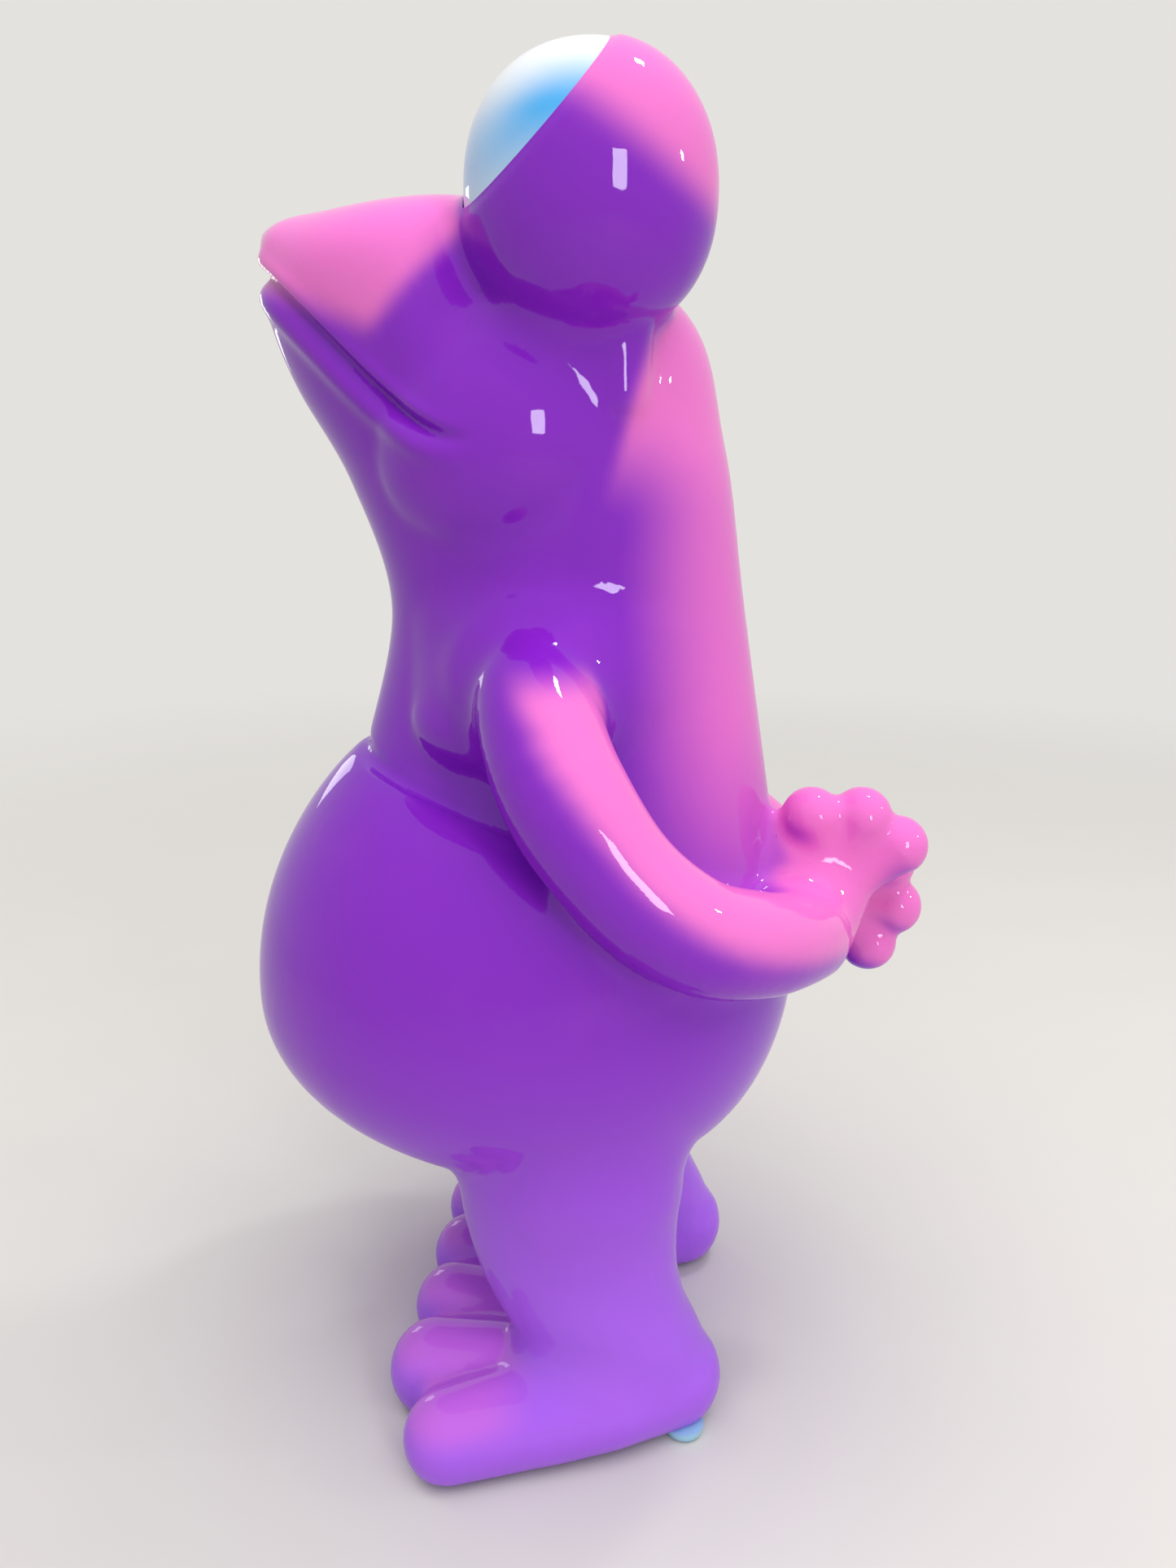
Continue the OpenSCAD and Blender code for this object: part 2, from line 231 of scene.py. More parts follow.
# Each lamp: name, place, aim, width, height, watts; one as wide as PANEL_W leaves no mirror image.
PANEL_W = 3.0
LAMPS = (
    ("Window", (1.25, 0.8, 0.55), (0, 0, 0.25), 0.26, 0.44, 5),
    ("Overhead panel", (0.45, 0.1, 2.1), (0, 0, 0.2), PANEL_W, PANEL_W, 58),
    ("Side softbox", (-1.1, -1.0, 0.5), (0, -0.05, 0.3), 0.3, 0.4, 1),
    ("Rear lamp", (-0.27, 0.5, 1.53), (0, 0, 0.3), 0.12, 0.12, 2.4),
    ("Side lamp", (-0.03, 1.24, 0.76), (0, 0, 0.3), 0.06, 0.06, 0.8),
)


def linear(code):
    """The linear RGBA colour of an sRGB hex code"""
    parts = [int(code[i:i + 2], 16) / 255 for i in (0, 2, 4)]
    return [p / 12.92 if p <= 0.04045 else ((p + 0.055) / 1.055) ** 2.4 for p in parts] + [1.0]


def smooth_step(low, high, value):
    """0 below low, 1 above high and a soft ramp between"""
    u = np.clip((value - low) / (high - low), 0, 1)
    return u * u * (3 - 2 * u)


def along(rows, t):
    """A smooth curve through a list of rows, at a place counted in rows"""
    last = len(rows) - 1
    i = min(int(max(t, 0)), last - 1)
    u = t - i
    a, b, c, d = (np.array(rows[min(max(k, 0), last)], float) for k in range(i - 1, i + 3))
    return b + 0.5 * u * ((c - a) + u * ((2 * a - 5 * b + 4 * c - d) + u * (3 * (b - c) + d - a)))


def hoop(middle, across, over):
    """The matrix that sets a unit circle on a middle and two half axes"""
    place = Matrix((across, over, across.cross(over).normalized())).transposed().to_4x4()
    place.translation = middle
    return place


def station_hoop(station):
    """The ring of one station round the body"""
    front_y, front_z, back_y, back_z, half_w = station
    front, back = Vector((0, front_y, front_z)), Vector((0, back_y, back_z))
    return hoop((front + back) / 2, Vector((half_w, 0, 0)), (back - front) / 2)


def loft(bm, places, sides=96):
    """A closed skin through unit circles, each set in place by its matrix"""
    part = bmesh.new()
    verts = bmesh.ops.create_circle(part, radius=1, segments=sides, matrix=places[0])["verts"]
    first = edges = list({e for v in verts for e in v.link_edges})
    for before, after in zip(places, places[1:]):
        grown = bmesh.ops.extrude_edge_only(part, edges=edges)["geom"]
        verts = [g for g in grown if isinstance(g, bmesh.types.BMVert)]
        fresh = set(verts)
        edges = [g for g in grown if isinstance(g, bmesh.types.BMEdge) and fresh.issuperset(g.verts)]
        bmesh.ops.transform(part, matrix=after @ before.inverted(), verts=verts)
    for rim in (first, edges):
        bmesh.ops.edgeloop_fill(part, edges=rim)
    join(bm, part)


def tube(bm, rows, step=0.2, grow=0, sides=48):
    """A limb through (x, y, z, radius) rows, with round ends"""
    stops = np.linspace(0, len(rows) - 1, round((len(rows) - 1) / step) + 1)
    caps = [math.radians(q) for q in range(12, 88, 15)]
    places = []
    start = [(0, -q) for q in reversed(caps)]
    end = [(stops[-1], q) for q in caps]
    for t, bend in start + [(t, 0) for t in stops] + end:
        x, y, z, radius = along(rows, t).tolist()
        way = Vector((along(rows, t + 0.01) - along(rows, t - 0.01))[:3]).normalized()
        side = way.cross(Vector((0.7, 0.6, 0.4))).normalized()
        radius += grow
        middle = Vector((x, y, z)) + radius * math.sin(bend) * way
        wide = radius * math.cos(bend)
        places.append(hoop(middle, wide * side, wide * way.cross(side)))
    loft(bm, places, sides)


def ball_hull(bm, balls, grow=0):
    """The tight skin round a few (middle, radius) balls"""
    soft = bmesh.new()
    for middle, radius in balls:
        place = Matrix.Translation(middle)
        bmesh.ops.create_icosphere(soft, subdivisions=3, radius=radius + grow, matrix=place)
    made = bmesh.ops.convex_hull(soft, input=soft.verts)
    spare = {g for g in made["geom_interior"] + made["geom_unused"] if isinstance(g, bmesh.types.BMVert)}
    bmesh.ops.delete(soft, geom=list(spare), context="VERTS")
    join(bm, soft)


def join(bm, part):
    """Adds a finished part to a bmesh"""
    mesh = bpy.data.meshes.new("part")
    part.to_mesh(mesh)
    part.free()
    bm.from_mesh(mesh)
    bpy.data.meshes.remove(mesh)


def body_column(bm):
    """Chest, neck and head, with the head's sides drawn in under the eye bulbs"""
    part = bmesh.new()
    loft(part, [station_hoop(along(COLUMN, t)) for t in np.linspace(0, 6, 97)])
    mid_y, mid_z, inner, outer, share = TUCK
    for vert in part.verts:
        away = math.hypot(vert.co.y - mid_y, vert.co.z - mid_z)
        vert.co.x *= 1 - share * (1 - smooth_step(inner, outer, away))
    join(bm, part)


def belly_low(angle):
    """A ring of the belly below its widest level"""
    front, back = math.cos(angle) ** 1.3, math.cos(angle) ** 0.64
    z = BELLY_Z - BELLY_DROP * math.sin(angle) ** 0.88
    half_w = (front + back) * BELLY_HALF_W / 2
    lifted = z + BELLY_LIFT * math.cos(angle) ** 4
    return (BELLY_Y - front * BELLY_HALF_DEPTH, z, BELLY_Y + back * BELLY_HALF_DEPTH, lifted, half_w)


def belly_high(angle):
    """A ring of the belly between its widest level and the waist crease"""
    rise, bulge = math.sin(angle), math.cos(angle) ** 1.7
    front_y, front_z, back_y, back_z, half_w = COLUMN[0]
    lifted = BELLY_Z + (back_z - BELLY_Z) * rise + BELLY_LIFT * math.cos(angle)
    return (front_y + (BELLY_Y - BELLY_HALF_DEPTH - front_y) * bulge, BELLY_Z + (front_z - BELLY_Z) * rise,
            back_y + (BELLY_Y + BELLY_HALF_DEPTH - back_y) * bulge, lifted,
            half_w + (BELLY_HALF_W - half_w) * math.cos(angle) ** 0.72)


def belly(bm):
    low = [belly_low(math.radians(q)) for q in (88, 86, 83, *range(80, 0, -3))]
    high = [belly_high(math.radians(q)) for q in range(0, 91, 3)]
    loft(bm, [station_hoop(s) for s in low + high], 120)


def bulb(bm, grow=0, shift=Vector()):
    """An eye bulb: a profile turned round its upright axis"""
    part = bmesh.new()
    verts = []
    for q in np.radians(np.linspace(-90, 90, 49)):
        out = (EYE_R + grow) * max(math.cos(q), 0) ** BULB_POWER
        rise = (EYE_HALF_H + grow) * math.copysign(abs(math.sin(q)) ** BULB_POWER, q)
        verts.append(part.verts.new(EYE + shift + Vector((out, 0, rise))))
    edges = [part.edges.new(pair) for pair in zip(verts, verts[1:])]
    bmesh.ops.spin(part, geom=verts + edges, cent=EYE + shift, axis=(0, 0, 1), angle=math.tau, steps=96,
                   use_merge=True)
    bmesh.ops.remove_doubles(part, verts=part.verts, dist=1e-4)
    bmesh.ops.recalc_face_normals(part, faces=part.faces)
    join(bm, part)


def bulb_mesh(side, grow=0, shift=Vector()):
    """The mesh of one eye bulb, in metres"""
    bm = bmesh.new()
    if side > 0:
        bulb(bm, grow, shift)
    else:
        mirrored(bm, bulb, grow, shift + RIGHT_EYE_SHIFT)
    bmesh.ops.scale(bm, vec=(MM, MM, MM), verts=bm.verts)
    mesh = bpy.data.meshes.new("bulb")
    bm.to_mesh(mesh)
    bm.free()
    return mesh


def head_tool():
    """The bare form of the head, in metres"""
    bm = bmesh.new()
    body_column(bm)
    bmesh.ops.scale(bm, vec=(MM, MM, MM), verts=bm.verts)
    mesh = bpy.data.meshes.new("head")
    bm.to_mesh(mesh)
    bm.free()
    return new_object("head", mesh)


def hand(bm, palm, tips, grow=0):
    """A hand: wrist to palm, three fingers with round tips, and the web between them"""
    palm = Vector(palm)
    wrist = Vector(ARM[-1][:3])
    ball_hull(bm, [(wrist, ARM[-1][3]), (palm, PALM_R)], grow)
    knuckles = []
    for tip in map(Vector, tips):
        knuckle = palm.lerp(tip, 0.55)
        knuckles.append((palm.lerp(tip, 0.45), FINGER_R - 2.5))
        rows = [(*palm, 0.75 * PALM_R), (*knuckle, FINGER_R - 2.2), (*tip, FINGER_R)]
        tube(bm, rows, 0.25, grow, 32)
    for pair in zip(knuckles, knuckles[1:]):
        ball_hull(bm, [(palm, 0.7 * PALM_R), *pair], grow)
    ball_hull(bm, [(palm, 0.7 * PALM_R), knuckles[0], (Vector(HAND_PAD), PAD_R)], grow)


def leg(bm, grow=0):
    """A leg with its heel, instep and three toes"""
    places = []
    for t in np.linspace(0, len(LEG) - 1, 43):
        z, mid_y, half_w, half_d = along(LEG, t)
        across, over = Vector((half_w + grow, 0, 0)), Vector((0, half_d + grow, 0))
        places.append(hoop(Vector((LEG_X, mid_y, z)), across, over))
    loft(bm, places, 72)
    heel = (Vector(HEEL[0]), HEEL[1])
    for toe in TOES:
        tube(bm, toe, 0.2, grow)
        root, mid = ((Vector(row[:3]), row[3]) for row in toe[:2])
        ball_hull(bm, [heel, root, mid], grow)
    outer = TOES[0][-1]
    ball_hull(bm, [heel, (Vector(outer[:3]), outer[3])], grow)


def foot_room(bm):
    """A block round one foot, up to below the belly"""
    top = BELLY_Z - BELLY_DROP - 8
    place = Matrix.Translation((61, 0, top / 2 - 5)) @ Matrix.Diagonal((120, 200, top + 10, 1))
    bmesh.ops.create_cube(bm, size=1, matrix=place)


def stalk(bm, grow=0):
    ball_hull(bm, [(Vector(middle), radius) for middle, radius in STALK], grow)


def egg(bm, middle, half_axes):
    place = Matrix.Translation(middle) @ Matrix.Diagonal((*half_axes, 1))
    bmesh.ops.create_uvsphere(bm, u_segments=96, v_segments=64, radius=1, matrix=place)


def mirrored(bm, form, *args):
    """The same form on the frog's other side"""
    part = bmesh.new()
    form(part, *args)
    bmesh.ops.scale(part, vec=(-1, 1, 1), verts=part.verts)
    bmesh.ops.reverse_faces(part, faces=part.faces)
    join(bm, part)


def new_object(name, mesh):
    made = bpy.data.objects.new(name, mesh)
    bpy.context.scene.collection.objects.link(made)
    return made


def applied(obj):
    """Replaces an object's mesh with what its modifiers make of it"""
    bpy.context.view_layer.update()
    mesh = bpy.data.meshes.new_from_object(obj.evaluated_get(bpy.context.evaluated_depsgraph_get()))
    obj.modifiers.clear()
    obj.data = mesh
    return obj


def fused(name, bm, voxel):
    """One closed skin round every form in a bmesh, turned to metres"""
    bmesh.ops.scale(bm, vec=(MM, MM, MM), verts=bm.verts)
    mesh = bpy.data.meshes.new(name)
    bm.to_mesh(mesh)
    bm.free()
    skin = new_object(name, mesh)
    remesh = skin.modifiers.new("Fuse", "REMESH")
    remesh.mode = "VOXEL"
    remesh.voxel_size = voxel
    return applied(skin)


class Net:
    """Points of a quad mesh with their neighbours, for sculpting moves; lengths are in millimetres"""

    def __init__(self, mesh):
        count = len(mesh.vertices)
        self.points = np.empty(count * 3)
        mesh.vertices.foreach_get("co", self.points)
        self.points = self.points.reshape(-1, 3) / MM
        self.edges = np.empty(len(mesh.edges) * 2, int)
        mesh.edges.foreach_get("vertices", self.edges)
        self.edges = self.edges.reshape(-1, 2)
        mesh.calc_loop_triangles()
        self.triangles = np.empty(len(mesh.loop_triangles) * 3, int)
        mesh.loop_triangles.foreach_get("vertices", self.triangles)
        self.triangles = self.triangles.reshape(-1, 3)
        self.degree = np.maximum(np.bincount(self.edges.ravel(), minlength=count), 1)

    def pull(self):
        """The way from each point to the middle of its neighbours"""
        a, b = self.edges.T
        count = len(self.points)
        p = self.points
        sums = [np.bincount(a, p[b, k], count) + np.bincount(b, p[a, k], count) for k in range(3)]
        return np.stack(sums, 1) / self.degree[:, None] - p

    def normals(self):
        a, b, c = self.triangles.T
        p = self.points
        flat = np.cross(p[b] - p[a], p[c] - p[a])
        total = np.stack([sum(np.bincount(i, flat[:, k], len(p)) for i in (a, b, c)) for k in range(3)], 1)
        return total / np.maximum(np.linalg.norm(total, axis=1), 1e-12)[:, None]

    def polish(self, rounds):
        """Takes the voxel steps off without shrinking"""
        for _ in range(rounds):
            self.points += 0.5 * self.pull()
            self.points -= 0.52 * self.pull()

    def fill_creases(self, share, rounds):
        """Lets lacquer and clay run into hollows: a share of 1 gets every round, and bulges stay"""
        for i in range(rounds):
            live = share > i / rounds
            pull, normals = self.pull(), self.normals()
            out = np.einsum("ij,ij->i", pull, normals)[:, None] * normals
            hollow = np.einsum("ij,ij->i", out, normals)[:, None] > 0
            move = np.where(hollow, out, 0) + 0.5 * (pull - out)
            self.points[live] += 0.6 * move[live]

    def blurred(self, values, rounds):
        """A value at each point, spread into its neighbours"""
        a, b = self.edges.T
        for _ in range(rounds):
            around = np.bincount(a, values[b], len(values)) + np.bincount(b, values[a], len(values))
            values = 0.5 * (values + around / self.degree)
        return values

    def write(self, mesh):
        mesh.vertices.foreach_set("co", (self.points * MM).ravel())
        mesh.update()


def near(points, middle, inner, outer):
    """1 within the inner radius of a place and 0 past the outer one, the same on both sides"""
    away = np.linalg.norm(points - np.array(middle), axis=1)
    mirror = np.linalg.norm(points * [-1, 1, 1] - np.array(middle), axis=1)
    return 1 - smooth_step(inner, outer, np.minimum(away, mirror))


def wide_share(points):
    """How far each hollow is filled on the coarse skin, from 0 to 1"""
    y, z = points[:, 1], points[:, 2]
    shoulder = near(points, *SHOULDER_FILL) * smooth_step(214, 240, z)
    shoulder *= 1 - smooth_step(256, 272, z)
    hip = near(points, *HIP_FILL) * smooth_step(-30, -4, y)
    instep = near(points, *INSTEP_FILL) * smooth_step(-26, -6, y)
    heel = near(points, *HEEL_FILL)
    cheek = 0.3 * near(points, *CHEEK_FILL)
    wrist = near(points, *WRIST_FILL)
    web = near(points, *WEB_FILL)
    return np.maximum.reduce([np.full(len(points), 0.03), shoulder, hip, instep, heel, cheek, wrist, web])


def fine_share(points):
    """How far each hollow is filled on the fine skin"""
    middle, way = station_plane(COLUMN[0])
    waist = np.abs((points - np.array(middle) / MM) @ np.array(way))
    return np.maximum(wide_share(points), 0.05 + 0.35 * smooth_step(3, 9, waist))


def all_forms(bm):
    body_column(bm)
    belly(bm)
    hand(bm, LEFT_PALM, LEFT_TIPS)
    mirrored(bm, hand, RIGHT_PALM, RIGHT_TIPS)
    bulb(bm)
    mirrored(bm, bulb, 0, RIGHT_EYE_SHIFT)
    for form, *args in ((tube, ARM), (leg,), (stalk,), (egg, *CHEEK), (egg, *SHOULDER), (egg, *CHEST_SIDE)):
        form(bm, *args)
        mirrored(bm, form, *args)


def mouth_height(y):
    """The height of the closed mouth, from the snout back to its corner"""
    u = (y + SNOUT_REACH) / MOUTH_LEN
    return WAIST_Z + np.polyval(MOUTH_CURVE, u)


def bulb_gap(away):
    """About how far points lie outside an eye bulb, from their places round its middle"""
    power = 2 / BULB_POWER
    across = np.hypot(away[:, 0], away[:, 1]) / EYE_R
    size = (across ** power + np.abs(away[:, 2] / EYE_HALF_H) ** power) ** (1 / power)
    return (size - 1) * EYE_R


def raise_lids(net):
    """Thickens the edge of each lid a little"""
    folded = net.points * np.where(net.points[:, :1] < 0, [-1, 1, 1], [1, 1, 1])
    away = folded - np.where(net.points[:, :1] < 0, EYE + RIGHT_EYE_SHIFT, EYE)
    behind = LID_EDGE - away @ np.array(lid_plane(1)[1])
    edge = smooth_step(0.3, 2.3, behind) * (1 - smooth_step(1, 30, behind))
    edge *= 1 - smooth_step(0.8, 2, bulb_gap(away))
    net.points += LID_RISE * edge[:, None] * net.normals()


def crease_waist(net):
    """A sharp crease where the chest sits in the belly"""
    middle, way = station_plane(COLUMN[0])
    front_y, _, back_y, _, half_w = COLUMN[0]
    x, y, _ = net.points.T
    level = (net.points - np.array(middle) / MM) @ np.array(way)
    size = np.hypot(x / half_w, (2 * y - front_y - back_y) / (back_y - front_y))
    mask = smooth_step(0.8, 0.88, size) * (1 - smooth_step(1.08, 1.12, size))
    net.points -= (WAIST_DEPTH * mask * np.exp(-(level / WAIST_WIDTH) ** 2))[:, None] * net.normals()


def carve_mouth(mesh):
    """A closed mouth: a thin groove with a full lower lip"""
    bm = bmesh.new()
    bm.from_mesh(mesh)
    span = 9 * MM
    fine = []
    for edge in bm.edges:
        middle = (edge.verts[0].co + edge.verts[1].co) / 2
        if middle.y < -18 * MM and abs(middle.z - mouth_height(middle.y / MM) * MM) < span:
            fine.append(edge)
    bmesh.ops.subdivide_edges(bm, edges=fine, cuts=1, use_grid_fill=True)
    bm.to_mesh(mesh)
    bm.free()
    net = Net(mesh)
    y, z = net.points[:, 1], net.points[:, 2]
    slope = mouth_height(y + 0.5) - mouth_height(y - 0.5)
    off = (z - mouth_height(y)) / np.sqrt(1 + slope ** 2)
    corner = MOUTH_LEN - SNOUT_REACH
    reach = 1 - smooth_step(corner - 20, corner + 3, y)
    groove = -MOUTH_DEPTH * np.exp(-(off / MOUTH_WIDTH) ** 2)
    lips = sum(tall * np.exp(-((off - mid) / width) ** 2) for tall, mid, width in (LOWER_LIP, UPPER_LIP))
    net.points += (reach * (groove + lips))[:, None] * net.normals()
    net.write(mesh)


def body_skin(voxel):
    """Every outer form of the figure fused into one skin, with wide hollows filled on a coarse copy"""
    forms = bmesh.new()
    all_forms(forms)
    coarse = fused("coarse", forms.copy(), COARSE_GRAIN * MM)
    net = Net(coarse.data)
    net.polish(2)
    share = wide_share(net.points)
    net.fill_creases(share, COARSE_ROUNDS)
    # What was filled stands a little proud of the forms, and the rest stays inside them.
    net.points = (net.points + (FILL_RISE * share - COARSE_INSET)[:, None] * net.normals()) / MM
    net.write(coarse.data)
    forms.from_mesh(coarse.data)
    bpy.data.objects.remove(coarse)
    skin = fused(SKIN, forms, voxel)
    net = Net(skin.data)
    net.polish(4)
    net.fill_creases(fine_share(net.points), FINE_ROUNDS)
    net.polish(12)
    raise_lids(net)
    crease_waist(net)
    net.points[:, 2] = np.maximum(net.points[:, 2], SOLE_Z)
    net.write(skin.data)
    carve_mouth(skin.data)
    net = Net(skin.data)
    normals = net.normals()
    corners = np.empty(len(skin.data.loops), int)
    skin.data.loops.foreach_get("vertex_index", corners)
    for name, values in painted(net.points, normals).items():
        values = net.blurred(values, 6)
        skin.data.attributes.new(name, "FLOAT", "CORNER").data.foreach_set("value", values[corners])
    shading = skin.data.attributes.new(SHADING, "FLOAT_VECTOR", "CORNER")
    shading.data.foreach_set("vector", normals[corners].ravel())
    return skin


def tube_gap(points, rows, start, stop):
    """How far each point lies outside a limb between two of its rows"""
    gap = np.full(len(points), 99.0)
    for t in np.linspace(start, stop, 8 * round(stop - start) + 1):
        *middle, radius = along(rows, t)
        gap = np.minimum(gap, np.linalg.norm(points - middle, axis=1) - radius)
    return gap


def painted(points, normals):
    """Painted light and shade, 0 to 1, at each point: pink where a warm lamp from above and behind falls on
    the upper side and back, and a lighter violet below
    """
    folded = points * np.where(points[:, :1] < 0, [-1, 1, 1], [1, 1, 1])
    x, y, z = folded.T
    back, top = normals[:, 1], normals[:, 2]
    line_y, line_z = SNOUT_EDGE
    end_y, end_z = SNOUT_END
    # Painted light on the top of the snout, ending at the eye bulb's painted cast shadow.
    bridge = smooth_step(-4.5, 5, 0.925 * (z - (line_z - SNOUT_SLOPE * (y - line_y))))
    bridge *= smooth_step(-2.5, 2.5, -0.731 * (y - end_y) + 0.683 * (z - end_z))
    # Painted light: the nape behind the necks of the eyes is pink where the warm lamp from behind falls on
    # it, and this fades softly down the back.
    edge_y, edge_z, slope = NAPE_EDGE
    high = smooth_step(286, 318, z)
    edge = smooth_step(-1.5, 2.5, y - edge_y - slope * (z - edge_z))
    round_back = (y + 8) / np.hypot(x, y + 8)
    nape = (1 - high) * NAPE_STRENGTH * smooth_step(0.4, 0.98, round_back) * smooth_step(140, 235, z)
    nape += high * edge
    away = folded - np.where(points[:, :1] < 0, EYE + RIGHT_EYE_SHIFT, EYE)
    far = np.linalg.norm(away, axis=1)
    on_bulb = 1 - smooth_step(1.2, 2.8, bulb_gap(away))
    # Painted light on the crown of each bulb, where the warm lamp falls.
    crown = smooth_step(0.2, 0.55, (CROWN_WAY[0] * away[:, 1] + CROWN_WAY[1] * away[:, 2]) / far)
    # Painted light on the top and back of each arm.
    arm = smooth_step(0.12, 0.62, ARM_WAY[0] * back + ARM_WAY[1] * top) * (1 - smooth_step(240, 251, z))
    arm *= 1 - smooth_step(0.4, 3, tube_gap(folded, ARM, 1.2, 8))
    # Painted light on the upper and back sides of the hands and wrists.
    fingers = np.full(len(points), 99.0)
    for side, palm, tips in ((1, LEFT_PALM, LEFT_TIPS), (-1, RIGHT_PALM, RIGHT_TIPS)):
        for tip in tips:
            rows = [(*palm, PALM_R), (*tip, FINGER_R)]
            fingers = np.minimum(fingers, tube_gap(points * [side, 1, 1], rows, 0, 1))
    wrist = near(points, *WRIST_LIT)
    hands = np.maximum(1 - smooth_step(1, 4, fingers), wrist) * smooth_step(-0.85, -0.1, top + 0.4 * back)
    # Painted light on the toe tops.
    toes = TOE_STRENGTH * smooth_step(0.2, 0.8, top) * (1 - smooth_step(-26, -6, y)) * (z < TOE_TOP)
    pink = np.maximum.reduce([bridge, nape, arm, hands, toes])
    pink += on_bulb * (crown - pink)
    # Painted light: the low value turns the lacquer a lighter violet towards the feet.
    return {"pink": pink, "low": 1 - smooth_step(30, 170, z)}


def cut(solid, tool, operation):
    """A new mesh: a solid cut by a tool, or kept inside it"""
    piece = new_object("cut", solid.data.copy())
    blade = piece.modifiers.new("Cut", "BOOLEAN")
    blade.operation = operation
    blade.solver = "MANIFOLD"
    blade.object = tool
    mesh = applied(piece).data
    bpy.data.objects.remove(piece)
    return mesh


def halved(mesh, point, normal):
    """The two closed parts of a mesh, behind a plane and in front of it"""
    parts = []
    for way in (normal, -normal):
        bm = bmesh.new()
        bm.from_mesh(mesh)
        every = bm.verts[:] + bm.edges[:] + bm.faces[:]
        made = bmesh.ops.bisect_plane(bm, geom=every, dist=1e-7, plane_co=point, plane_no=way,
                                      clear_outer=True)
        rim = [e for e in made["geom_cut"] if isinstance(e, bmesh.types.BMEdge) and e.is_boundary]
        shading = bm.loops.layers.float_vector.get(SHADING)
        for face in bmesh.ops.holes_fill(bm, edges=rim)["faces"]:
            for corner in face.loops:
                if shading:
                    corner[shading] = Vector()
        part = bpy.data.meshes.new("half")
        bm.to_mesh(part)
        bm.free()
        parts.append(part)
    return parts


def tool_of(*forms):
    """A cutting tool round a few forms"""
    bm = bmesh.new()
    for side, form, *args in forms:
        if side != "right":
            form(bm, *args)
        if side != "left":
            mirrored(bm, form, *args)
    return fused("tool", bm, TOOL_GRAIN * MM)


def take(context, tool):
    """Cuts what lies inside a tool from the body and returns its mesh"""
    body = bpy.data.objects.get(SKIN) or body_skin(context.scene.frog_sizes.voxel)
    inside = cut(body, tool, "INTERSECT")
    body.data = cut(body, tool, "DIFFERENCE")
    bpy.data.objects.remove(tool)
    return inside


def keep_shading(mesh):
    """Shades a cut piece as the whole skin was, so that the lacquer runs over the joints"""
    layer = mesh.attributes.get(SHADING)
    if layer is None or layer.domain != "CORNER":
        raise RuntimeError("a piece has lost the shading of the skin")
    normals = np.empty(len(mesh.loops) * 3, np.float32)
    layer.data.foreach_get("vector", normals)
    mesh.attributes.remove(layer)
    mesh.normals_split_custom_set(normals.reshape(-1, 3))


def finished(mesh, node, material):
    """A piece in its place, riding the body and standing in for its moulded node"""
    if not len(mesh.polygons):
        raise RuntimeError(f"{node} came out empty")
    mesh.name = node
    mesh.materials.clear()
    mesh.materials.append(material)
    mesh.polygons.foreach_set("material_index", np.zeros(len(mesh.polygons), np.int32))
    mesh.polygons.foreach_set("use_smooth", np.ones(len(mesh.polygons), bool))
    mesh.set_sharp_from_angle(angle=math.radians(40))
    if SHADING in mesh.attributes:
        keep_shading(mesh)
    piece = new_object(node, mesh)
    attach(piece, BODY)
    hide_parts(node)
    return piece


def pair(context, mesh, kind):
    """Left and right lacquered pieces from one cut that spans the middle"""
    for part, node in zip(halved(mesh, Vector(), Vector((1, 0, 0))), ("right_" + kind, "left_" + kind)):
        finished(part, node, lacquer(context.scene.frog_paint))


def add(tree, kind, links, **settings):
    """Adds a shader node, with its settings, and links or sets its inputs"""
    made = tree.nodes.new("ShaderNode" + kind)
    for name, value in settings.items():
        setattr(made, name, value)
    for socket, source in links.items():
        if isinstance(source, bpy.types.NodeSocket):
            tree.links.new(source, made.inputs[socket])
        else:
            made.inputs[socket].default_value = source
    return made


def mix(tree, factor, first, second):
    """A colour between two colours"""
    made = add(tree, "Mix", {"Factor": factor, "A": first, "B": second}, data_type="RGBA")
    return made.outputs["Result"]


def ramp(tree, value, start, stop, first=0, last=1):
    """A soft ramp of a value between two of its levels"""
    levels = {"Value": value, "From Min": start, "From Max": stop, "To Min": first, "To Max": last}
    return add(tree, "MapRange", levels, interpolation_type="SMOOTHSTEP").outputs["Result"]


def math_node(tree, operation, *inputs):
    """The result of one operation on values"""
    return add(tree, "Math", dict(enumerate(inputs)), operation=operation).outputs["Value"]


def noise(tree, size, detail):
    """Soft random clouds of about a size in millimetres, fixed to the object"""
    place = add(tree, "TexCoord", {}).outputs["Object"]
    links = {"Vector": place, "Scale": 1 / (size * MM), "Detail": detail}
    return add(tree, "TexNoise", links).outputs["Fac"]


def blank_material(name):
    material = bpy.data.materials.new(name)
    material.use_nodes = True
    material.node_tree.nodes.clear()
    return material, material.node_tree


